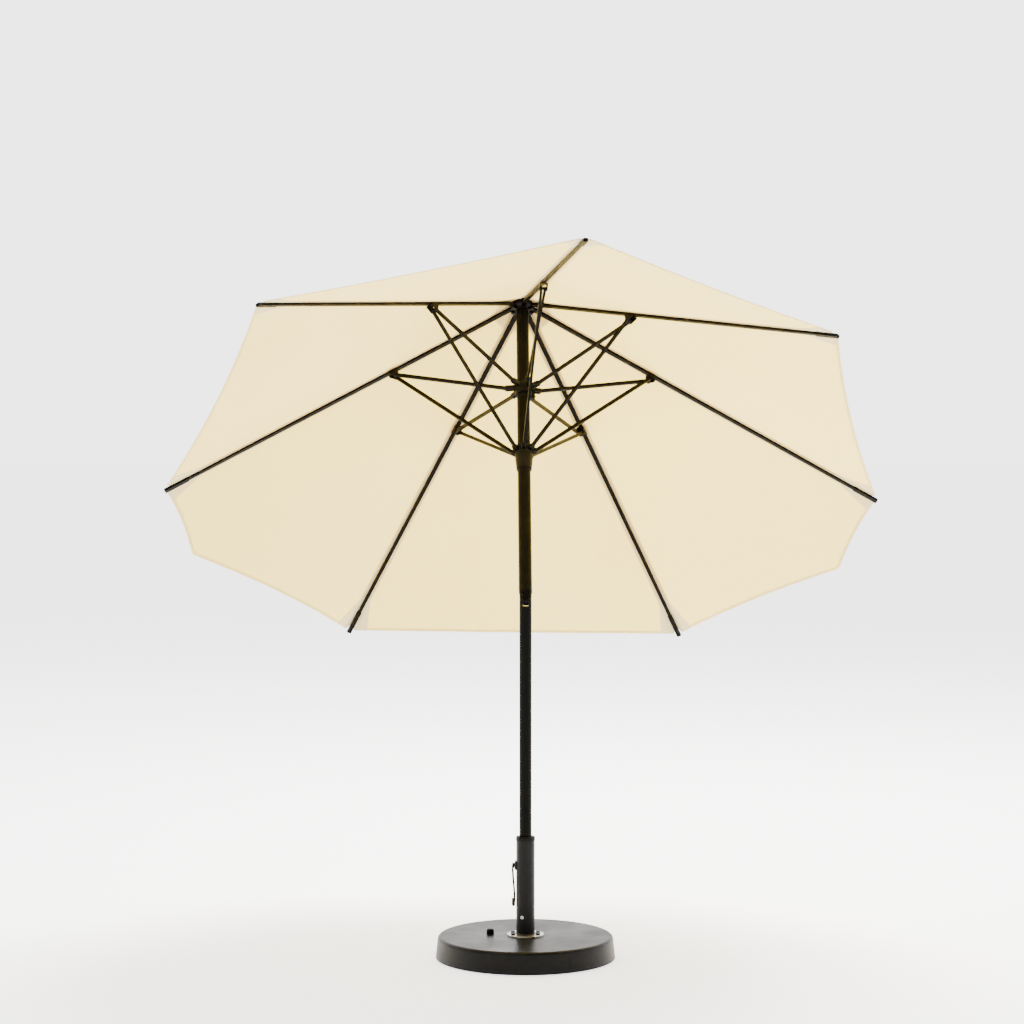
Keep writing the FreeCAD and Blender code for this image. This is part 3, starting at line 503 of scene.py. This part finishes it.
CREAM, CREAM_SHADE, CREAM_LIGHT = (0.91, 0.79, 0.37), (0.89, 0.76, 0.33), (0.98, 0.84, 0.31)
FINISH = {
    "canopy_cloth": woven("Cream canopy cloth", CREAM, CREAM_SHADE, CREAM_LIGHT, 0.46),
    "hem": woven("Stitched hem", (0.89, 0.78, 0.39), CREAM_SHADE, CREAM_LIGHT, 0.42, stitch_at=0.0075),
    # The seam tape is a real second layer, but its colour is also darker than the cloth as painted shade along
    # each rib.
    "tape": woven("Stitched seam tape with painted shade", (0.80, 0.68, 0.33), (0.76, 0.63, 0.29), (0.93, 0.76, 0.30), 0.30,
                  stitch_at=0.021),
    "patch": woven("Tip reinforcement", (0.80, 0.69, 0.40), (0.77, 0.65, 0.36), (0.93, 0.77, 0.38), 0.28,
                   stitch_at=0.194),
    "crown": woven("Crown reinforcement", (0.84, 0.72, 0.38), (0.80, 0.67, 0.34), (0.95, 0.78, 0.34), 0.30,
                   stitch_at=0.008),
    "base_paint": powder_coat("Base powder coat", (0.0052, 0.0049, 0.0045), (0.010, 0.0095, 0.009),
                              0.36, 0.10),
    "pole_paint": powder_coat("Pole powder coat", (0.0022, 0.0019, 0.0015), (0.005, 0.0043, 0.0035),
                              0.38, 0.04),
    "frame_paint": powder_coat("Frame powder coat", (0.0022, 0.0017, 0.0011), (0.005, 0.004, 0.003),
                               0.38, 0.05),
    "bright_steel": turned_steel("Turned bright steel"),
    "dark_steel": powder_coat("Dark zinc", (0.006, 0.0055, 0.005), (0.03, 0.028, 0.026), 0.34, 0.15, 1400.0),
    "dark_plastic": moulded("Moulded dark plastic", (0.0026, 0.0022, 0.0017), 0.46, 0.08),
    "foot_rubber": moulded("Foot rubber", (0.008, 0.008, 0.008), 0.75),
    "base_sand": moulded("Packed sand", (0.45, 0.38, 0.28), 0.9),
}

for part in frame["record"]["subparts"]:
    node = frame["nodes"][part["node"]]
    for holder in node.material_slots:
        holder.material = FINISH[part["material_slot"]]


# ---- dressing the frame ----
def dress(piece, finish, half, axis, anchor, keep):
    piece.data.materials.clear()
    piece.data.materials.append(FINISH[finish])
    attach(piece, half.rib.body)
    half.rib.direction(axis, half.hand)
    half.rib.place(anchor, half.hand)
    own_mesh(piece)


for index in range(7):
    for hand in (1, -1):
        half = HalfPanel(index, hand)
        fold = half.fold_axis()
        cloth, hem, tape, patch = make_cloth(half), make_hem(half), make_tape(half), make_patch(half)
        crown = make_crown_patch(half)
        for piece, finish in ((cloth, "canopy_cloth"), (hem, "hem"), (tape, "tape"), (patch, "patch"),
                              (crown, "crown")):
            dress(piece, finish, half, *fold)
        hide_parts("canopy_%d" % half.rib.number)
        wide, long, area = half.cut_size()


# ---- floor, light and camera ----
def floor():
    start_clean()
    bpy.ops.mesh.primitive_circle_add(vertices=128, radius=60, fill_type="NGON", location=(0, 0, 0))
    ground = bpy.context.object
    ground.name = "floor"
    made, nodes, links, shader, _ = finish_nodes("Pale floor")
    shader.inputs["Base Color"].default_value = (0.90, 0.90, 0.895, 1)
    shader.inputs["Roughness"].default_value = 1.0
    shader.inputs["Specular IOR Level"].default_value = 0.0
    shader.inputs["Emission Color"].default_value = (1, 1, 0.995, 1)
    shader.inputs["Emission Strength"].default_value = FLOOR_GLOW
    ground.data.materials.append(made)


def area_light(name, place, aim, size, power, colour=(1, 1, 1)):
    data = bpy.data.lights.new(name, "AREA")
    data.shape, data.size, data.energy, data.color = "DISK", size, power, colour
    lamp = bpy.data.objects.new(name, data)
    bpy.context.scene.collection.objects.link(lamp)
    lamp.location = place
    lamp.rotation_mode = "QUATERNION"
    lamp.rotation_quaternion = (Vector(aim) - Vector(place)).to_track_quat("-Z", "Y")


def studio():
    """Pale light all round, brighter behind, dim on the side that the camera stands on."""
    world = bpy.data.worlds.new("studio")
    world.use_nodes = True
    nodes, links = world.node_tree.nodes, world.node_tree.links
    split = nodes.new("ShaderNodeSeparateXYZ")
    links.new(nodes.new("ShaderNodeTexCoord").outputs["Generated"], split.inputs[0])
    glow = ranged(nodes, links, split.outputs[1], FRONT_GLOW, BACK_GLOW, -0.4, 0.7)
    links.new(glow, nodes["Background"].inputs["Strength"])
    nodes["Background"].inputs["Color"].default_value = (1.0, 1.0, 0.995, 1)
    bpy.context.scene.world = world


FRONT_GLOW, BACK_GLOW, FLOOR_GLOW = 0.12, 3.8, 2.15
floor()
studio()
area_light("key", (-4.5, -6.0, 6.5), (0, 0, 1.2), 4.5, 300)
area_light("top", (1.5, 3.5, 7.5), (0, 0.3, 1.8), 5.0, 2700, (1.0, 0.98, 0.95))

camera = bpy.data.objects.new("camera", bpy.data.cameras.new("camera"))
bpy.context.scene.collection.objects.link(camera)
camera.data.lens = 98.2
camera.data.clip_end = 200
camera.location = (-0.156, -10.0, 2.084)
camera.rotation_mode = "QUATERNION"
camera.rotation_quaternion = (Vector((-0.0486, 0, 1.611)) - camera.location).to_track_quat("-Z", "Y")
bpy.context.scene.camera = camera
